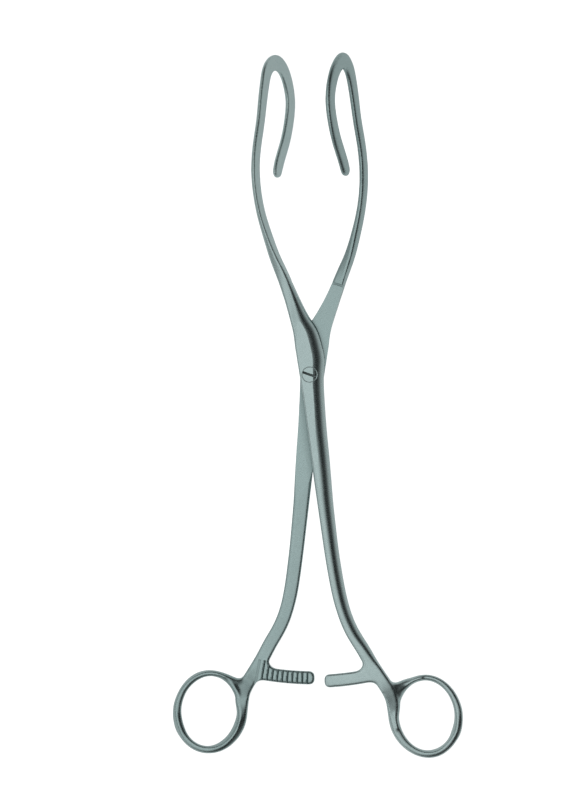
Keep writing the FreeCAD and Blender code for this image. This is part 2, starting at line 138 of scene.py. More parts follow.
def eased_at(places: Array, values: Array, at: Array) -> Array:
    """Values between stations, by cubics that never swing past the given ones.

    Each slope is the harmonic mean of the two rises beside it, or nought where
    they have different signs.

    Args:
        places: distances of the stations.
        values: one row of sizes per station.
        at: distances to read at.

    Returns:
        One row of sizes per distance.
    """
    step = np.diff(places)[:, None]
    rise = np.diff(values, axis=0) / step
    product = rise[:-1] * rise[1:]
    total = rise[:-1] + rise[1:]
    inner = np.where(product > 0, 2.0 * product / np.where(total == 0, 1.0, total), 0.0)
    slope = np.vstack([rise[:1], inner, rise[-1:]])
    index = span_of(places, at)
    width = step[index]
    t = ((at - places[index]) / width[:, 0])[:, None]
    start = values[index] * (1 + 2 * t) * (1 - t) ** 2 + slope[index] * width * t * (1 - t) ** 2
    end = values[index + 1] * t * t * (3 - 2 * t) - slope[index + 1] * width * t * t * (1 - t)
    return start + end


def sections_set(centres: Array, right: Array, front: Array, sizes: Array, steps: int) -> Array:
    """Rounded rectangles set in space, each corner a quarter of an ellipse.

    A corner point at angle t is the corner's centre plus (across cos t, deep sin t).
    The four corners are walked round in turn, so the flats lie between them. Each
    point then stands at the section's centre plus its two parts along right and front.

    Args:
        centres: one point per section.
        right: each section's unit vector to the right.
        front: each section's unit vector to the front.
        sizes: rows of width, depth and four pairs of corner sizes.
        steps: points on each corner.

    Returns:
        An array of sections x points x 3.
    """
    width, depth = sizes[:, 0:1], sizes[:, 1:2]
    turn = np.linspace(0.0, QUARTER, steps)[None, :]
    corners = []
    for index, (side, face) in enumerate([(1, 1), (1, -1), (-1, -1), (-1, 1)]):
        across = np.minimum(sizes[:, 2 + 2 * index:3 + 2 * index], CORNER_SHARE * width)
        deep = np.minimum(sizes[:, 3 + 2 * index:4 + 2 * index], CORNER_SHARE * depth)
        angle = QUARTER - turn if side == face else turn
        u = side * (width / 2 - across + across * np.cos(angle))
        v = face * (depth / 2 - deep + deep * np.sin(angle))
        corners.append(np.stack([u, v], axis=2))
    grid = np.concatenate(corners, axis=1)
    sideways = grid[:, :, :1] * right[:, None, :]
    return centres[:, None, :] + sideways + grid[:, :, 1:] * front[:, None, :]


@dataclass
class Shell:
    """A closed mesh as numpy arrays: points, and faces as lists of corners."""

    points: Array
    quads: Array
    caps: list[list[int]]

    def turned_about_middle_line(self) -> "Shell":
        """The shell after half a turn about the Y axis."""
        return Shell(self.points * np.array([-1.0, 1.0, -1.0]), self.quads, self.caps)

    def mesh(self, name: str) -> bpy.types.Mesh:
        """The shell as a Blender mesh, in metres and in the CAD model's frame.

        Args:
            name: the mesh's name.

        Returns:
            The new mesh.
        """
        mesh = bpy.data.meshes.new(name)
        placed = (self.points + np.array([PIVOT_SIDE, 0.0, -FRONT_FACE])) * MM
        mesh.from_pydata(placed.tolist(), [], self.quads.tolist() + self.caps)
        mesh.validate()
        mesh.update()
        return mesh


def tube(rings: Array) -> Shell:
    """A closed tube through rings of points, capped flat at both ends.

    Point (i, j) of the grid is ring i's point j, and each quad joins two
    neighbouring points of two neighbouring rings.

    Args:
        rings: rings x points x 3.

    Returns:
        The closed shell, its faces outwards.
    """
    count, around, _ = rings.shape
    i, j = np.meshgrid(np.arange(count - 1), np.arange(around), indexing="ij")
    after = (j + 1) % around
    here, beyond = i * around, (i + 1) * around
    quads = np.stack([here + j, here + after, beyond + after, beyond + j], axis=2)
    first = list(range(around))[::-1]
    last = [(count - 1) * around + k for k in range(around)]
    return Shell(rings.reshape(-1, 3), quads.reshape(-1, 4), [first, last])


def prism(outline: Array, low: float, high: float) -> Shell:
    """A plan outline raised between two heights.

    Args:
        outline: points x 2, anticlockwise seen from the front.
        low: height of the back.
        high: height of the front.

    Returns:
        The closed shell.
    """
    levels = [np.column_stack([outline, np.full(len(outline), z)]) for z in (low, high)]
    return tube(np.stack(levels))


@dataclass
class Station:
    """One cross-section of the forging: centre, size, twist and four corner rounds."""

    x: float
    y: float
    z: float
    width: float
    depth: float
    twist: float = 0.0
    front_right: Pair = SHARP
    back_right: Pair = SHARP
    back_left: Pair = SHARP
    front_left: Pair = SHARP

    def row(self) -> list[float]:
        """The twist, and then the sizes in the order that sections_set reads."""
        rounds = [*self.front_right, *self.back_right, *self.back_left, *self.front_left]
        return [self.twist, self.width, self.depth, *rounds]


def path_through(stations: list[Station]) -> tuple[Array, Array, Array]:
    """The path that stations give.

    Args:
        stations: the stations in order.

    Returns:
        Their centres, their distances along the path and their rows of sizes.
    """
    points = np.array([[s.x, s.y, s.z] for s in stations])
    lengths = np.linalg.norm(np.diff(points, axis=0), axis=1)
    places = np.concatenate([[0.0], np.cumsum(lengths)])
    return points, places, np.array([s.row() for s in stations])


@dataclass
class FingerRing:
    """The oval ring, and the horn that carries its top."""

    hand: int
    rolls: tuple[Pair, ...]
    side: float = 38.5
    middle_reach: float = 119.9
    hand_difference: float = 2.6
    lean: float = 6.0
    opening: Pair = (19.7, 24.8)
    wire: float = 2.9
    wire_top: float = 2.1
    wire_foot: float = 2.6
    wire_root: float = 3.7
    depth: float = 4.0
    depth_top: float = 3.6
    round_share: float = 0.45
    facet_share: float = 0.2
    horn_difference: float = 0.8
    inner_front: float = 0.3
    step: int = 15

    @property
    def reach(self) -> float:
        """The ring's centre below the pivot, which is lower on the upper arm."""
        return self.middle_reach + self.hand * self.hand_difference / 2

    def section(self, turn: float, wire: float, front: float, roll: float, share: float) -> Station:
        """The wire's section at an angle from the ring's top.

        Its middle is (half opening + half wire) times (sin turn, cos turn), leaned over.

        Args:
            turn: the angle in radians.
            wire: the wire's width there.
            front: height of its middle.
            roll: its roll in degrees.
            share: share of the width that its corners take.

        Returns:
            The station.
        """
        lean = math.radians(self.lean)
        across = (self.opening[0] + wire) / 2 * math.sin(turn)
        rise = (self.opening[1] + wire) / 2 * math.cos(turn)
        x = self.side + across * math.cos(lean) - rise * math.sin(lean)
        y = -self.reach + rise * math.cos(lean) + across * math.sin(lean)
        depth = self.depth - (self.depth - self.depth_top) * max(0.0, math.cos(turn))
        soft = (share * wire, self.round_share * depth)
        return Station(x, y, front, wire, depth, roll, soft, soft, soft, soft)

    def stations(self) -> list[Station]:
        """The ring from its top, round its outer side and foot, to its inner side.

        The wire is thinner at top and foot and stouter at its root. Its narrow front
        flat, which finishing by hand leaves, rolls a little from side to side.

        Returns:
            The stations in order.
        """
        made = []
        for angle in range(0, 271, self.step):
            turn = math.radians(angle)
            top, foot = max(0.0, math.cos(turn)), max(0.0, -math.cos(turn))
            root = max(0.0, -math.sin(turn)) ** 4
            wire = self.wire - (self.wire - self.wire_top) * top
            wire -= (self.wire - self.wire_foot) * foot
            wire += (self.wire_root - self.wire) * root
            roll = float(np.interp(angle, *zip(*self.rolls)))
            made.append(self.section(turn, wire, 0.0, roll, self.facet_share))
        return made

    def inner_arc(self) -> list[Station]:
        """The rest of the oval, from its inner side up to its top, inside neck and horn.

        Returns:
            The stations in order.
        """
        made = []
        for angle in range(255, 361, self.step):
            turn = math.radians(angle)
            wire = self.wire - (self.wire - self.wire_top) * max(0.0, math.cos(turn))
            made.append(self.section(turn, wire, self.inner_front, 0.0, self.round_share))
        return made

    def horn(self) -> list[Station]:
        """The upper root of the ring, curling out of the neck to the top of the oval.

        The table gives each place from the ring's centre, as inwards and above, then
        the front, the width, the depth and the share of both that its corners take.

        Returns:
            The stations in order.
        """
        stouter = (1 + self.hand) * self.horn_difference / 2
        table = [
            (16.3, 13.3, 1.6, 2.8, 3.5, 0.15),
            (13.8, 10.2, 1.3, 4.0 + stouter, 3.7, 0.2),
            (10.5, 9.5, 0.8, 3.9 + stouter, 3.7, 0.3),
            (7.7, 11.0, 0.3, 2.9 + stouter, 3.6, self.round_share),
            (4.7, 12.5, 0.0, 2.35, 3.6, self.round_share),
        ]
        made = []
        for inwards, above, z, width, depth, share in table:
            soft = (share * width, share * depth)
            x, y = self.side - inwards, above - self.reach
            made.append(Station(x, y, z, width, depth, 0.0, soft, soft, soft, soft))
        return made


@dataclass
class Shank:
    """The shank from the ring's neck to the waist, and the joint plate above it."""

    ring: FingerRing
    neck_inside: float = 19.9
    neck_above: float = 19.6
    waist_reach: float = 17.7
    waist_side: float = 1.5
    rear_roll: float = -1.5

    def stations(self) -> list[Station]:
        """Stations from the neck up to the waist, the large round on the front's outer edge.

        The neck's places are taken from the ring's centre. The shank's are shares of
        the way from the waist to the neck, outwards and along. The rear arm's shank
        rolls by a degree or two, which comes in over the first third of the way.

        Returns:
            The stations in order.
        """
        neck = [
            (11.9, 5.3, 0.65, 5.0, 4.1, (1.4, 1.5)),
            (14.0, 10.1, 1.35, 5.0, 4.0, (0.9, 1.0)),
            (17.1, 14.9, 1.7, 5.0, 3.6, (0.9, 1.0)),
            (self.neck_inside, self.neck_above, 1.8, 4.9, 3.4, (1.7, 1.6)),
        ]
        shank = [
            (0.865, 0.949, 1.85, 4.9, 3.4, (2.4, 2.0)),
            (0.713, 0.897, 1.85, 4.9, 3.4, (2.9, 2.3)),
            (0.591, 0.846, 1.85, 4.9, 3.4, (3.0, 2.3)),
            (0.503, 0.795, 1.85, 4.9, 3.4, (3.1, 2.4)),
            (0.436, 0.743, 1.85, 5.0, 3.45, (3.3, 2.4)),
            (0.345, 0.640, 1.85, 5.1, 3.5, (3.4, 2.5)),
            (0.275, 0.538, 1.9, 5.2, 3.5, (3.5, 2.5)),
            (0.216, 0.435, 1.95, 5.4, 3.6, (3.7, 2.6)),
            (0.160, 0.332, 1.9, 5.7, 3.7, (3.9, 2.7)),
            (0.111, 0.229, 1.85, 6.2, ARM_DEPTH, (4.1, 2.8)),
            (0.0585, 0.119, 1.75, 6.6, ARM_DEPTH + LAP_STOCK, (4.3, 2.9)),
            (0.0, 0.0, 1.76, 7.0, ARM_DEPTH + LAP_STOCK, (4.5, 3.0)),
        ]
        side, reach = self.ring.side, self.ring.reach
        outwards = side - self.neck_inside - self.waist_side
        along = reach - self.neck_above - self.waist_reach
        roll = self.rear_roll if self.ring.hand < 0 else 0.0
        made = []
        for inwards, above, z, width, depth, large in neck:
            x, y = side - inwards, above - reach
            made.append(Station(x, y, z, width, depth, roll / 2, large))
        for out, share, z, width, depth, large in shank:
            x = self.waist_side + out * outwards
            y = -self.waist_reach - share * along
            made.append(Station(x, y, z, width, depth, roll * min(1.0, 3.0 * share), large))
        return made

    def plate(self) -> list[Station]:
        """The joint plate and the limb that leaves it, which begins to twist.

        Returns:
            The stations in order.
        """
        full = ARM_DEPTH + LAP_STOCK + FACE_STOCK
        middle = full / 2 - LAP_STOCK
        table = [
            (0.72, -8.7, middle, 7.5, full, 0.0, (4.7, 3.0)),
            (0.16, -2.6, middle, 8.2, full, 0.0, (4.9, 3.0)),
            (-0.12, 1.6, middle, 9.05, full, 0.0, (5.1, 3.0)),
            (-0.4, 5.9, middle, 9.8, full, 0.0, (5.2, 3.0)),
            (-1.16, 10.1, middle, 9.6, full, 0.2, (5.2, 3.0)),
            (-2.05, 14.1, middle, 8.9, full, 0.8, (5.0, 3.0)),
            (-3.9, 18.6, middle, 7.1, full, 2.5, (4.3, 2.9)),
            (-5.72, 22.9, 1.6, 5.85, full, 6.0, (3.4, 2.6)),
            (-7.4, 27.1, 1.42, 4.9, full, 10.0, (2.4, 2.0)),
            (-9.07, 31.4, 1.2, 4.25, full, 14.0, (1.6, 1.5)),
            (-10.7, 35.6, 0.95, 3.8, 4.2, 17.5, (1.0, 1.0)),
        ]
        return [Station(*row) for row in table]


@dataclass
class OvalJaw:
    """The open flat oval, whose plane is turned about the long axis."""

    hand: int
    turn: float = 57.0
    limb_side: float = 19.25
    limb_reach: float = 73.0
    tip_reach: float = 113.7
    loop_width: float = 22.2
    loop_difference: float = 2.2
    limb_band: float = 4.3
    tip_band: float = 5.8
    finger_band: float = 4.9
    finger_end_band: float = 4.3
    finger_end_drop: float = 3.0
    thickness: float = 1.9
    back_round: Pair = (0.93, 1.5)

    def limb(self) -> list[Station]:
        """The limb that turns into the oval's plane.

        Returns:
            The stations in order.
        """
        table = [
            (-12.58, 39.9, 0.65, 3.36, 4.3, 21.0, (0.6, 0.7), (0.9, 1.0)),
            (-15.45, 48.4, 0.22, 2.5, 4.4, 28.0, (0.5, 0.5), (1.2, 1.3)),
            (-17.67, 56.9, 0.03, 2.05, self.limb_band, 32.0, (0.4, 0.4), self.back_round),
        ]
        return [Station(*sizes, large, SHARP, left, left) for *sizes, large, left in table]

    def loop(self) -> list[Station]:
        """The oval itself, given in its own plane as (across, share of its height, band).

        Returns:
            The stations in order.
        """
        height = self.tip_reach - self.tip_band / 2 - self.limb_reach
        wide = self.loop_width + self.hand * self.loop_difference / 2
        table = [
            (0.6, -0.212, self.limb_band),
            (0.0, 0.0, self.limb_band),
            (1.3, 0.225, self.limb_band),
            (3.7, 0.45, self.limb_band),
            (5.2, 0.635, 4.6),
            (6.9, 0.815, 4.9),
            (9.3, 0.95, 5.4),
            (wide - 9.1, 1.0, self.tip_band),
            (wide - 5.0, 0.95, 5.5),
            (wide - 1.6, 0.815, 5.2),
            (wide, 0.63, self.finger_band),
            (wide - 1.0, 0.458, self.finger_band),
            (wide - 4.0, 0.246, self.finger_band),
            (wide - 7.7, 0.066, self.finger_band),
            (wide - 10.0, -self.finger_end_drop / height, self.finger_end_band),
        ]
        turn, twist = math.radians(self.turn), 90.0 - self.turn
        soft = self.back_round
        made = []
        for across, share, band in table:
            x = -self.limb_side + across * math.cos(turn)
            y = self.limb_reach + share * height
            z = -across * math.sin(turn)
            made.append(Station(x, y, z, self.thickness, band, twist, SHARP, SHARP, soft, soft))
        return made


@dataclass
class RatchetBar:
    """The bar with teeth that reaches from the shank to the middle line."""

    radius: float
    tip_side: float
    width: float = 4.7
    depth: float = 3.42
    top_round: float = 3.3
    low_round: float = 4.2
    tip_round: float = 1.7
    root_top_side: float = 17.3
    root_low_side: float = 22.4
    root_inside: float = 1.7
    pitch: float = 1.77
    tooth_depth: float = 0.45
    land_share: float = 0.6
    teeth: int = 10
    tooth_start: float = 2.2
    run_out: float = 0.9
    wall_turn: float = 0.0001
    below_land: float = 0.01
    arc_steps: int = 33
    round_steps: int = 9

    @property
    def tip_angle(self) -> float:
        """Where the bar's tip stands on its arc, in radians."""
        return math.asin((self.tip_side + PIVOT_SIDE) / self.radius)

    def polar(self, radius: Array, angle: Array) -> Array:
        """Plan points at a radius and an angle in radians about the pivot."""
        return np.stack([-PIVOT_SIDE + radius * np.sin(angle), -radius * np.cos(angle)], axis=-1)

    def outline(self) -> Array:
        """The bar's plan: two arcs about the pivot, rounds at the tip and fillets at the root.

        Returns:
            Points x 2, anticlockwise.
        """
        top, low = self.radius - self.width / 2, self.radius + self.width / 2
        tip = self.tip_angle
        root_top = math.asin((self.root_top_side + PIVOT_SIDE) / top)
        root_low = math.asin((self.root_low_side + PIVOT_SIDE) / low)
        inside = math.radians(self.root_inside)
        t = np.linspace(0.0, QUARTER, self.round_steps)
        bow, rise = 1 - np.cos(t), 1 - np.sin(t)
        tip_turn = self.tip_round / self.radius
        fillet_top = self.top_round / top
        fillet_low = self.low_round / low
        line = np.linspace(0.0, 1.0, self.arc_steps)
        even = np.ones(self.arc_steps)
        top_end = tip + tip_turn
        top_arc = root_top - fillet_top + (top_end - root_top + fillet_top) * line
        low_arc = top_end + (root_low - fillet_low - top_end) * line
        ends = np.array([root_low + inside / 4, root_top + inside])
        return np.concatenate([
            self.polar(top - self.top_round * rise, root_top - fillet_top * bow),
            self.polar(top * even, top_arc)[1:],
            self.polar(top + self.tip_round * bow, tip + tip_turn * rise)[1:],
            self.polar(low - self.tip_round * rise, tip + tip_turn * bow),
            self.polar(low * even, low_arc)[1:],
            self.polar(low + self.low_round * bow, root_low - fillet_low * rise)[1:],
            self.polar(np.array([low, top]), ends),
        ])

    def blank(self) -> Shell:
        """The bar before its teeth are cut."""
        return prism(self.outline(), LAP_GAP / 2, LAP_GAP / 2 + self.depth)

    def comb(self) -> Shell:
        """What is cut off the lap face: notches, steep towards the tip, and the run-out.

        Along the arc the height rises at once by the notch's depth and falls back
        evenly over the notch, and the rest of the pitch is the tooth's land.
        Every section is carried along the radius.

        Returns:
            The shell to cut with.
        """
        first = self.tip_angle + self.tooth_start / self.radius
        pitch = self.pitch / self.radius
        lift = LAP_GAP / 2
        deep, land, wall = lift + self.tooth_depth, lift - self.below_land, self.wall_turn
        starts = first + np.arange(self.teeth) * pitch
        slope = pitch * (1.0 - self.land_share)
        steps = np.array([0.0, wall, slope, pitch - 2 * wall])
        end = first + self.teeth * pitch
        last = end + self.run_out / self.radius
        angles = np.concatenate([(starts[:, None] + steps).ravel(), [end, last, last + wall]])
        heights = np.array([lift, deep, land, land] * self.teeth + [deep, deep, lift])
        rows = []
        for radius in (self.radius + self.width, self.radius - self.width):
            plan = self.polar(np.full(len(angles), radius), angles)
            upper = np.column_stack([plan, heights])
            under = np.column_stack([plan[::-1], np.full(len(angles), -ARM_DEPTH)])
            rows.append(np.vstack([upper, under]))
        return tube(np.stack(rows))


@dataclass(frozen=True)
class ScrewSeat:
    """Holes that the screw needs, and the screw's own sizes."""

    head: float = 5.1
    head_depth: float = 1.7
    bearing: float = 3.8
    thread: float = 3.0
    clearance: float = 0.03
    groove: float = 0.5
    groove_depth: float = 0.5
    sides: int = 96

    def hole(self, diameter: float, low: float, high: float) -> Shell:
        """A round cutter on the pivot.

        Args:
            diameter: the screw's diameter there, before the clearance.
            low: height of the cutter's back.
            high: height of its front.

        Returns:
            The shell to cut with.
        """
        turn = np.linspace(0.0, 2 * math.pi, self.sides, endpoint=False)
        radius = diameter / 2 + self.clearance
        outline = np.column_stack([radius * np.cos(turn) - PIVOT_SIDE, radius * np.sin(turn)])
        return prism(outline, low, high)

    def through_upper(self) -> list[Shell]:
        """Head, bearing and the narrow groove round the head."""
        front = 2.0 * FRONT_FACE
        return [
            self.hole(self.head, FRONT_FACE - self.head_depth - self.clearance, front),
            self.hole(self.bearing, -front, front),
            self.hole(self.head + self.groove, FRONT_FACE - self.groove_depth, front),
        ]

    def through_lower(self) -> Shell:
        """The threaded hole, drawn as a plain one."""
        return self.hole(self.thread, -4.0 * FRONT_FACE, FRONT_FACE)


@dataclass
class LapFace:
    """The milled face where the arms lie against each other, and the outer facing."""

    pivot_side: float
    radius: float = 33.9
    tail: float = 44.0
    relief: float = 0.9
    relief_depth: float = 0.5
    arc_steps: int = 129

    def half_round(self) -> Array:
        """Unit vectors over half a turn, from the right to the left."""
        turn = np.linspace(0.0, math.pi, self.arc_steps)
        return np.column_stack([np.cos(turn), np.sin(turn)])

    def facing(self) -> Shell:
        """What the facing takes off the joint's outer face."""
        square = np.array([[-1, -1], [1, -1], [1, 1], [-1, 1]]) * self.tail
        return prism(square, FRONT_FACE, 2.0 * FRONT_FACE)

    def cutter(self) -> Shell:
        """A half disc about the pivot and a strip down the shank, below the lap plane.

        Returns:
            The shell to cut with.
        """
        half_disc = self.half_round() * self.radius + [self.pivot_side, 0.0]
        right, tail = self.radius / 2, -self.tail
        strip = np.array([[-right, 0.0], [-right, tail], [right, tail], [right, 0.0]])
        return prism(np.vstack([half_disc, strip]), -2.0 * ARM_DEPTH, LAP_GAP / 2)

    def shoulder(self) -> Shell:
        """The narrow relief along the half disc's edge, deeper than the face.

        Returns:
            The shell to cut with.
        """
        way = self.half_round()
        outline = np.vstack([way * self.radius, way[::-1] * (self.radius - self.relief)])
        outline += [self.pivot_side, 0.0]
        return prism(outline, -2.0 * ARM_DEPTH, LAP_GAP / 2 + self.relief_depth)


@dataclass
class ForgedArm:
    """One arm: ring, shank, joint plate, oval jaw and ratchet bar in one forging."""

    which: Side
    body: str
    ring: FingerRing
    bar: RatchetBar
    seat: ScrewSeat = ScrewSeat()
    spacing: float = 0.45
    corner_steps: int = 9
    end_steps: int = 12
    end_band: float = 0.04
    end_thinning: float = 0.7
    overlap: int = 2
    voxel: float = 0.27
    blend: float = 1.3
    smoothing: int = 6

    def path_stations(self) -> tuple[list[Station], int, int]:
        """All stations in order, from the horn's root to the finger's end.

        Returns:
            The stations, the index of the ring's top and the index where the joint begins.
        """
        shank, jaw, horn = Shank(self.ring), OvalJaw(self.ring.hand), self.ring.horn()
        handle = horn + self.ring.stations() + shank.stations()
        stations = handle + shank.plate() + jaw.limb() + jaw.loop()
        return self.leaned(stations), len(horn), len(handle)

    def leaned(self, stations: list[Station]) -> list[Station]:
        """Moves stations by the pair's lean, which is outwards on one arm.

        Args:
            stations: the stations of a straight arm.

        Returns:
            The same stations, moved sideways.
        """
        along = np.clip([station.y for station in stations], LEANS[0, 0], LEANS[-1, 0])
        leans = eased_at(LEANS[:, 0], LEANS[:, 1:], along)[:, 0]
        for station, lean in zip(stations, leans):
            station.x += self.ring.hand * float(lean)
        return stations

    def inner_arc(self) -> Shell:
        """The oval's inner arc as a closed form.

        Returns:
            The closed shell.
        """
        points, places, rows = path_through(self.leaned(self.ring.inner_arc()))
        at = np.linspace(0.0, places[-1], int(places[-1] / self.spacing) + 1)
        centres, forward = spline_at(places, points, at)
        sizes = eased_at(places, rows, at)[:, 1:]
        front = np.broadcast_to([0.0, 0.0, 1.0], forward.shape)
        right = np.cross(forward, front)
        return tube(sections_set(centres, right, front, sizes, self.corner_steps))

    def directions(self, forward: Array, twist: Array, on_handle: Array) -> tuple[Array, Array]:
        """Each section's right and front, square to the path.

        On the handle the right is level and then turned about the path by the twist.
        Past it the right keeps the twist about the long axis.

        Args:
            forward: unit vectors along the path.
            twist: the twist in radians.
            on_handle: whether the section is on the handle.

        Returns:
            Unit vectors to the right and to the front.
        """
        level = np.cross(forward, np.array([0.0, 0.0, 1.0]))
        level /= np.linalg.norm(level, axis=1, keepdims=True)
        rolled = np.cross(level, forward) * np.sin(twist)[:, None]
        level = level * np.cos(twist)[:, None] + rolled
        held = np.column_stack([np.cos(twist), np.zeros(len(twist)), np.sin(twist)])
        held -= forward * np.sum(held * forward, axis=1, keepdims=True)
        right = np.where(on_handle[:, None], level, held)
        right /= np.linalg.norm(right, axis=1, keepdims=True)
        return right, np.cross(right, forward)

    def rings_along(self) -> tuple[Array, int]:
        """Rings of points along the whole path.

        Each ring is the section's outline set square to the path. Over the finger's
        end the rings stand closer together, the band falls as a quarter of a circle
        does, and the thickness by less.

        Returns:
            The rings, and the index of the ring's top among them.
        """
        stations, top, joint = self.path_stations()
        points, places, table = path_through(stations)
        whole, end = places[-1], stations[-1].depth / 2
        first = np.linspace(0.0, places[top], max(2, int(places[top] / self.spacing)) + 1)
        rest = np.linspace(places[top], whole, int((whole - places[top]) / self.spacing) + 1)
        tip = whole - end * (1 - np.sin(np.linspace(0.0, QUARTER, self.end_steps)))
        at = np.concatenate([first[:-1], rest[rest < whole - end], tip])
        centres, forward = spline_at(places, points, at)
        rows = eased_at(places, table, at)
        twist, sizes = np.radians(rows[:, 0]), rows[:, 1:]
        right, front = self.directions(forward, twist, at <= places[joint])
        close = np.clip(1.0 - np.maximum(whole - at, 0.0) / end, 0.0, 1.0)
        sizes[:, 1] *= np.maximum(np.sqrt(1.0 - close**2), self.end_band)
        sizes[:, 0] *= np.sqrt(1.0 - self.end_thinning * close**2)
        return sections_set(centres, right, front, sizes, self.corner_steps), len(first) - 1

    def shells(self) -> list[Shell]:
        """The forging's overlapping closed forms: horn, long body, inner arc and bar."""
        rings, top = self.rings_along()
        return [
            tube(rings[:top + self.overlap]), tube(rings[top:]), self.inner_arc(), self.bar.blank()
        ]

    def cutters(self) -> list[Shell]:
        """What the machining takes off, in the arm's own frame.

        Returns:
            The shells to cut with.
        """
        upper = self.which is Side.UPPER
        lap = LapFace(-PIVOT_SIDE if upper else PIVOT_SIDE)
        made = [lap.cutter(), lap.shoulder(), lap.facing(), self.bar.comb()]
        return made + self.seat.through_upper() if upper else made

    def build(self) -> bpy.types.Object:
        """Makes the arm's object: one skin over the forms, then the cuts.

        Returns:
            The finished object, at the origin, riding on its body.
        """
        forms, cuts = self.shells(), self.cutters()
        if self.which is Side.LOWER:
            forms = [form.turned_about_middle_line() for form in forms]
            cuts = [cut.turned_about_middle_line() for cut in cuts]
            cuts.append(self.seat.through_lower())
        blank = join_shells(forms, self.which.value + "_forging")
        skin_over(blank, self.voxel * MM, self.blend * MM, self.smoothing)
        for index, cut in enumerate(cuts):
            cut_away(blank, cut, f"cut_{index}")
        shade(blank)
        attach(blank, self.body)
        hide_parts(self.which.value)
        return blank


def into_scene(name: str, data: bpy.types.ID) -> bpy.types.Object:
    """Makes an object of the data and links it to the scene.

    Args:
        name: the object's name.
        data: its mesh, lamp or lens.

    Returns:
        The new object.
    """
    made = bpy.data.objects.new(name, data)
    bpy.context.scene.collection.objects.link(made)
    return made


def join_shells(shells: list[Shell], name: str) -> bpy.types.Object:
    """One object that holds several closed shells.

    Args:
        shells: the shells.
        name: the object's name.

    Returns:
        The object, linked to the scene.
    """
    points, quads, caps, base = [], [], [], 0
    for shell in shells:
        points.append(shell.points)
        quads.append(shell.quads + base)
        caps += [[corner + base for corner in cap] for cap in shell.caps]
        base += len(shell.points)
    whole = Shell(np.vstack(points), np.vstack(quads), caps)
    return into_scene(name, whole.mesh(name))


def settle(target: bpy.types.Object) -> None:
    """Applies the object's modifiers to its mesh.

    Args:
        target: the object.
    """
    graph = bpy.context.evaluated_depsgraph_get()
    mesh = bpy.data.meshes.new_from_object(target.evaluated_get(graph))
    target.modifiers.clear()
    old = target.data
    target.data = mesh
    mesh.name = target.name
    bpy.data.meshes.remove(old)


def skin_over(target: bpy.types.Object, size: float, blend: float, smoothing: int) -> None:
    """Draws one skin over overlapping forms and blends the hollows where they meet.

    The skin is moved outwards and back inwards again by the same amount. What
    stands out keeps its shape, and a hollow is left with a round of that radius.

    Args:
        target: the object with the forms.
        size: voxel size in metres.
        blend: radius of the hollows' rounds in metres.
        smoothing: how many times each point is moved halfway to its neighbours' mean.
    """
    for shift in (blend, -blend, 0.0):
        remesh = target.modifiers.new("skin", "REMESH")
        remesh.mode = "VOXEL"
        remesh.voxel_size = size
        remesh.adaptivity = 0.0
        smooth = target.modifiers.new("polish", "SMOOTH")
        smooth.factor = 0.5
        smooth.iterations = smoothing
        if shift:
            move = target.modifiers.new("move", "DISPLACE")
            move.direction = "NORMAL"
            move.mid_level = 0.0
            move.strength = shift
    settle(target)


def cut_away(target: bpy.types.Object, cutter: Shell, name: str) -> None:
    """Takes the cutter's space out of the object.

    Args:
        target: the object to cut.
        cutter: the closed shell to cut with.
        name: a name for the cutter while it is needed.
    """
    tool = into_scene(name, cutter.mesh(name))
    cut = target.modifiers.new(name, "BOOLEAN")
    cut.operation = "DIFFERENCE"
    cut.solver = "EXACT"
    cut.object = tool
    settle(target)
    mesh = tool.data
    bpy.data.objects.remove(tool)
    bpy.data.meshes.remove(mesh)


def shade(target: bpy.types.Object, crease: float = 55.0) -> None:
    """Smooth shading that large flats keep to themselves, sharp past the crease angle.

    Args:
        target: the object.
        crease: the angle in degrees.
    """
    target.data.shade_smooth()
    target.data.set_sharp_from_angle(angle=math.radians(crease))
    weigh = target.modifiers.new("weigh", "WEIGHTED_NORMAL")
    weigh.keep_sharp = True
    weigh.weight = 50
    settle(target)


def linear(colour: str) -> tuple[float, float, float, float]:
    """An sRGB hex colour as linear RGBA.

    Args:
        colour: six hex digits.

    Returns:
        Linear red, green and blue, and 1.
    """
    parts = [int(colour[i:i + 2], 16) / 255 for i in (0, 2, 4)]
    values = [c / 12.92 if c <= 0.04045 else ((c + 0.055) / 1.055) ** 2.4 for c in parts]
    return (*values, 1.0)


def bare_material(name: str) -> bpy.types.Material:
    """Makes a material whose node tree is empty.

    Args:
        name: the material's name.

    Returns:
        The new material.
    """
    made = bpy.data.materials.new(name)
    made.use_nodes = True
    made.node_tree.nodes.clear()
    return made


def add_node(
    tree: bpy.types.NodeTree, kind: str, inputs: dict[str | int, object], **settings: str
) -> bpy.types.Node:
    """Adds a shader node, sets its properties and fills its inputs.

    Args:
        tree: the node tree.
        kind: the node's type, without the word ShaderNode.
        inputs: input name or number to a value, to the socket that feeds it, or to
            the node whose first output feeds it.
        settings: the node's properties by name.

    Returns:
        The new node.
    """
    node = tree.nodes.new("ShaderNode" + kind)
    for name, value in settings.items():
        setattr(node, name, value)
    for name, value in inputs.items():
        source = value.outputs[0] if isinstance(value, bpy.types.Node) else value
        if isinstance(source, bpy.types.NodeSocket):
            tree.links.new(source, node.inputs[name])
        else:
            node.inputs[name].default_value = source
    return node


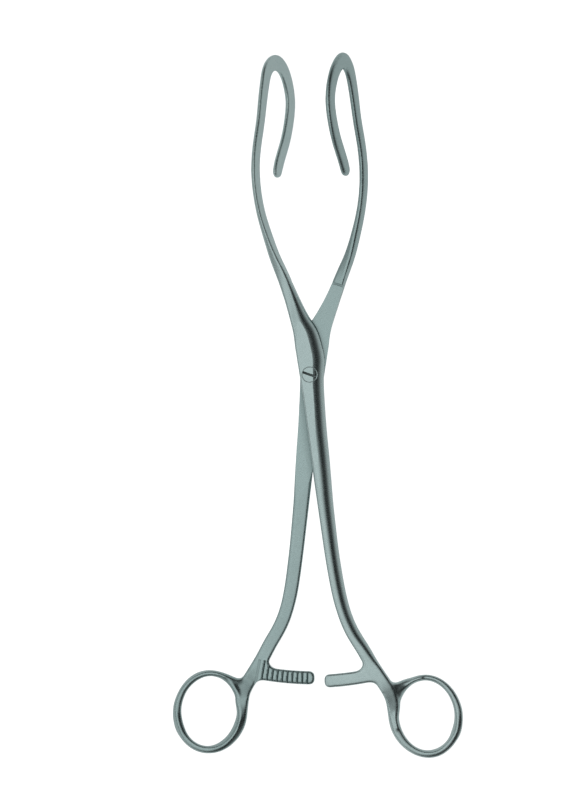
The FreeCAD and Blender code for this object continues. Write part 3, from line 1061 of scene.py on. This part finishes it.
@dataclass(frozen=True)
class SatinSteel:
    """Martensitic stainless steel, hardened, then satin-brushed: grey with a green cast.

    The brushing leaves fine lines across the arm's length that spread a highlight
    without hiding the dark band where a rounded edge looks at the dim room. Real
    lines are some hundredths of a millimetre apart, too fine to show, so the grain
    is drawn at 0.18 mm. Hollows and seams get painted shade: ambient occlusion
    darkens the base colour where little light gets in.
    """

    name: str = "satin_stainless_steel"
    colour: str = "BDD3D2"
    worn: str = "C9DDDC"
    # Painted shade in hollows: the darkest share of the colour left, the ambient occlusion range
    # and its reach
    painted_shade_darkest: float = 0.25
    painted_shade_ao_low: float = 0.1
    painted_shade_ao_high: float = 0.85
    painted_shade_reach_mm: float = 4.0
    roughness: float = 0.27
    roughness_spread: float = 0.07
    grain_mm: float = 0.18
    grain_stretch: float = 3.0
    grain_range: Pair = (0.3, 0.7)
    cloud_mm: float = 9.0
    bump_mm: float = 0.0025

    def material(self) -> bpy.types.Material:
        """Builds the node material: tint in clouds, brushed grain and painted shade in hollows.

        Returns:
            The new material.
        """
        made = bare_material(self.name)
        tree = made.node_tree
        place = add_node(tree, "TexCoord", {}).outputs["Object"]
        stretch = (1.0, self.grain_stretch, 1.0)
        brushed = add_node(tree, "Mapping", {"Vector": place, "Scale": stretch})
        fine = 1.0 / (self.grain_mm * MM) / self.grain_stretch
        grain = add_node(tree, "TexNoise", {"Vector": brushed, "Scale": fine, "Detail": 3.0})
        wide = 1.0 / (self.cloud_mm * MM)
        cloud = add_node(tree, "TexNoise", {"Vector": place, "Scale": wide, "Detail": 4.0})
        colours = {0: cloud, 6: linear(self.colour), 7: linear(self.worn)}
        tint = add_node(tree, "Mix", colours, data_type="RGBA").outputs[2]
        low, high = self.grain_range
        half = self.roughness_spread / 2
        spread = {0: grain, 1: low, 2: high, 3: self.roughness - half, 4: self.roughness + half}
        rough = add_node(tree, "MapRange", spread)
        height = self.bump_mm * MM
        bump = add_node(tree, "Bump", {"Height": grain, "Distance": height, "Strength": 1.0})
        # Painted shade: ambient occlusion darkens the base colour in hollows and seams
        hollow = add_node(tree, "AmbientOcclusion", {"Distance": self.painted_shade_reach_mm * MM})
        dark = {0: hollow.outputs["AO"], 1: self.painted_shade_ao_low, 2: self.painted_shade_ao_high, 3: self.painted_shade_darkest}
        held = add_node(tree, "MapRange", dark)
        black = (0.0, 0.0, 0.0, 1.0)
        colour = add_node(tree, "Mix", {0: held, 6: black, 7: tint}, data_type="RGBA").outputs[2]
        looks = {"Base Color": colour, "Roughness": rough, "Normal": bump, "Metallic": 1.0}
        steel = add_node(tree, "BsdfPrincipled", looks)
        add_node(tree, "OutputMaterial", {"Surface": steel})
        return made


@dataclass(frozen=True)
class PaleCard:
    """White card under and behind the object, that the camera sees as white."""

    name: str = "white_card"
    colour: str = "F2F2F2"
    seen: float = 0.9
    mirrored: float = 0.25

    def material(self) -> bpy.types.Material:
        """Builds the node material: matt white, glowing for the camera, clear from beneath.

        Returns:
            The new material.
        """
        made = bare_material(self.name)
        tree = made.node_tree
        matt = add_node(tree, "BsdfDiffuse", {"Color": linear(self.colour)})
        rays = add_node(tree, "LightPath", {}).outputs
        camera, glossy = rays["Is Camera Ray"], rays["Is Glossy Ray"]
        seen = add_node(tree, "Math", {0: camera, 1: self.seen}, operation="MULTIPLY")
        mirror = add_node(tree, "Math", {0: glossy, 1: self.mirrored}, operation="MULTIPLY")
        total = add_node(tree, "Math", {0: seen, 1: mirror}, operation="ADD")
        glow = add_node(tree, "Emission", {"Strength": total})
        both = add_node(tree, "AddShader", {0: matt, 1: glow})
        under = add_node(tree, "NewGeometry", {}).outputs["Backfacing"]
        beneath = add_node(tree, "Math", {0: under, 1: camera}, operation="MULTIPLY")
        clear = add_node(tree, "BsdfTransparent", {})
        card = add_node(tree, "MixShader", {0: beneath, 1: both, 2: clear})
        add_node(tree, "OutputMaterial", {"Surface": card})
        return made


@dataclass(frozen=True)
class SoftboxCloth:
    """Cloth in front of a lamp: it glows most in its middle, and evenly past its left side."""

    spread: Pair = (0.2, 0.4)
    strength: float = 1.03
    left_glow: float = 0.75
    left_edge: Pair = (-0.3, -0.08)

    def material(self) -> bpy.types.Material:
        """Builds the node material.

        The middle's glow is strength times exp(-r squared), where r is the distance
        from the middle as a share of the spread. The larger of both glows counts.

        Returns:
            The new material.
        """
        made = bare_material("softbox_cloth")
        tree = made.node_tree
        place = add_node(tree, "TexCoord", {}).outputs["Object"]
        spread = (*self.spread, 1.0)
        shares = add_node(tree, "VectorMath", {0: place, 1: spread}, operation="DIVIDE")
        far = add_node(tree, "VectorMath", {0: shares}, operation="LENGTH").outputs["Value"]
        square = add_node(tree, "Math", {0: far, 1: far}, operation="MULTIPLY")
        minus = add_node(tree, "Math", {0: square, 1: -1.0}, operation="MULTIPLY")
        fall = add_node(tree, "Math", {0: minus}, operation="EXPONENT")
        middle = add_node(tree, "Math", {0: fall, 1: self.strength}, operation="MULTIPLY")
        side = add_node(tree, "SeparateXYZ", {0: place}).outputs["X"]
        low, high = self.left_edge
        edge = {0: side, 1: low, 2: high, 3: self.left_glow, 4: 0.0}
        left = add_node(tree, "MapRange", edge, interpolation_type="SMOOTHSTEP")
        level = add_node(tree, "Math", {0: middle, 1: left}, operation="MAXIMUM")
        glow = add_node(tree, "Emission", {"Strength": level})
        add_node(tree, "OutputMaterial", {"Surface": glow})
        return made


@dataclass
class Studio:
    """Floor, overhead softbox, room and the camera straight above, in metres."""

    # Where the pair touches the floor: the rear jaw and both rings' backs
    contacts: tuple[tuple[float, float, float], ...] = (
        (-0.0046, 0.0969, -0.0255),
        (0.0413, -0.1350, -0.0058),
        (-0.0386, -0.1324, -0.0058),
    )
    floor_size: float = 3.0
    floor_gap: float = 0.0002
    floor_lines: int = 5
    box_height: float = 1.0
    box_reach: float = 0.7
    box_middle: float = -0.05
    fill_strength: float = 0.25
    fill_size: float = 0.3
    fill_place: tuple[float, float, float] = (0.0, -0.01, 0.95)
    ceiling: float = 0.03
    horizon: float = 0.45
    wall_edge: Pair = (0.15, 0.75)
    left_wall: float = 0.35
    left_edge: Pair = (-0.6, -0.2)
    frame_pixels: tuple[int, int] = (574, 800)
    mm_per_pixel: float = 0.354
    pivot_pixel: Pair = (309.5, 374.6)
    roll: float = 0.0134
    camera_height: float = 5.0
    sensor: float = 24.0
    far: float = 20.0

    def floor(self) -> None:
        """A large card through the three contacts, as a square grid of points."""
        low = [Vector(point) for point in self.contacts]
        normal = (low[2] - low[0]).cross(low[1] - low[0]).normalized()
        centre = low[0] - normal * self.floor_gap
        side = normal.orthogonal().normalized()
        other = normal.cross(side)
        grid = np.linspace(-self.floor_size, self.floor_size, self.floor_lines)
        u, v = np.meshgrid(grid, grid, indexing="ij")
        points = np.array(centre) + u[..., None] * np.array(side) + v[..., None] * np.array(other)
        index = np.arange(u.size).reshape(u.shape)
        corners = [index[:-1, :-1], index[1:, :-1], index[1:, 1:], index[:-1, 1:]]
        quads = np.stack(corners, axis=2).reshape(-1, 4)
        mesh = bpy.data.meshes.new("floor")
        mesh.from_pydata(points.reshape(-1, 3).tolist(), [], quads.tolist())
        mesh.materials.append(PaleCard().material())
        floor = into_scene("floor", mesh)

    def softbox(self) -> None:
        """The square cloth overhead, which the camera doesn't see."""
        square = np.array([(-1, -1, 0), (-1, 1, 0), (1, 1, 0), (1, -1, 0)]) * self.box_reach
        mesh = bpy.data.meshes.new("softbox")
        mesh.from_pydata(square.tolist(), [], [(0, 1, 2, 3)])
        mesh.materials.append(SoftboxCloth().material())
        card = into_scene("softbox", mesh)
        card.location = (0.0, self.box_middle, self.box_height)
        card.visible_camera = False

    def fill(self) -> None:
        """A weak lamp beside the softbox, which lightens the card under the object."""
        lamp = bpy.data.lights.new("fill", "AREA")
        lamp.shape = "DISK"
        lamp.size = self.fill_size
        lamp.energy = self.fill_strength
        made = into_scene("fill", lamp)
        made.location = self.fill_place
        made.visible_camera = False
        made.visible_glossy = False

    def room(self) -> None:
        """A dark ceiling, walls that are lighter towards the horizon, and a pale left wall."""
        world = bpy.data.worlds.new("room")
        world.use_nodes = True
        tree = world.node_tree
        back = tree.nodes["Background"]
        back.inputs["Color"].default_value = (1.0, 1.0, 1.0, 1.0)
        way = add_node(tree, "TexCoord", {}).outputs["Generated"]
        parts = add_node(tree, "SeparateXYZ", {0: way}).outputs
        low, high = self.wall_edge
        edge = {0: parts["Z"], 1: low, 2: high, 3: self.horizon, 4: self.ceiling}
        wall = add_node(tree, "MapRange", edge, interpolation_type="SMOOTHSTEP")
        low, high = self.left_edge
        edge = {0: parts["X"], 1: low, 2: high, 3: self.left_wall, 4: 0.0}
        left = add_node(tree, "MapRange", edge, interpolation_type="SMOOTHSTEP")
        walls = add_node(tree, "Math", {0: wall, 1: left}, operation="MAXIMUM")
        camera = add_node(tree, "LightPath", {}).outputs["Is Camera Ray"]
        level = add_node(tree, "Mix", {0: camera, 2: walls, 3: 1.0})
        tree.links.new(level.outputs[0], back.inputs["Strength"])
        bpy.context.scene.world = world

    def camera(self) -> None:
        """The camera straight above, turned by the pair's lean in the frame."""
        scene = bpy.context.scene
        wide, high = self.frame_pixels
        across, down = self.pivot_pixel
        pixel = self.mm_per_pixel * MM
        lens = bpy.data.cameras.new("camera")
        lens.sensor_fit = "VERTICAL"
        lens.sensor_height = self.sensor
        lens.lens = self.sensor * self.camera_height / (high * pixel)
        lens.clip_end = self.far
        made = into_scene("camera", lens)
        aside = Vector(((wide / 2 - across) * pixel, (down - high / 2) * pixel, 0.0))
        lift = Vector((0.0, 0.0, self.camera_height - FRONT_FACE * MM))
        made.location = Matrix.Rotation(-self.roll, 3, "Z") @ aside + lift
        made.rotation_euler = (0.0, 0.0, -self.roll)
        scene.camera = made
        scene.view_settings.view_transform = "Standard"

    def build(self) -> None:
        """Sets the whole stage."""
        for part in (self.camera, self.softbox, self.fill, self.room, self.floor):
            part()


def dress(piece: bpy.types.Object, finish: SatinSteel) -> None:
    """Gives a piece one finish and reports it.

    Args:
        piece: the piece's object.
        finish: its finish.
    """
    piece.data.materials.clear()
    piece.data.materials.append(finish.material())
    LOG.info("%s: %d faces, %s", piece.name, len(piece.data.polygons), finish.name)


def main() -> None:
    """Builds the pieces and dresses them."""
    logging.basicConfig(level=logging.INFO)
    Studio().build()
    upper_ring, lower_ring = FingerRing(1, UPPER_ROLLS), FingerRing(-1, LOWER_ROLLS)
    upper_bar, lower_bar = RatchetBar(108.6, tip_side=2.95), RatchetBar(107.4, tip_side=0.55)
    upper = ForgedArm(Side.UPPER, "upper_half", upper_ring, upper_bar)
    lower = ForgedArm(Side.LOWER, "lower_half", lower_ring, lower_bar)
    # Painted shade: the rear arm gets a darker copy of the same steel
    shaded_rear_steel = SatinSteel("satin_stainless_steel_rear_shaded", colour="ABC3C2", worn="B7CDCC")
    # The screw is small, so only its slot and the seam round it get painted shade
    screw_steel = SatinSteel("screw_steel", painted_shade_darkest=0.02, painted_shade_ao_low=0.42)
    dress(upper.build(), SatinSteel())
    dress(lower.build(), shaded_rear_steel)
    dress(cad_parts["joint_screw"], screw_steel)


if __name__ == "__main__":
    main()
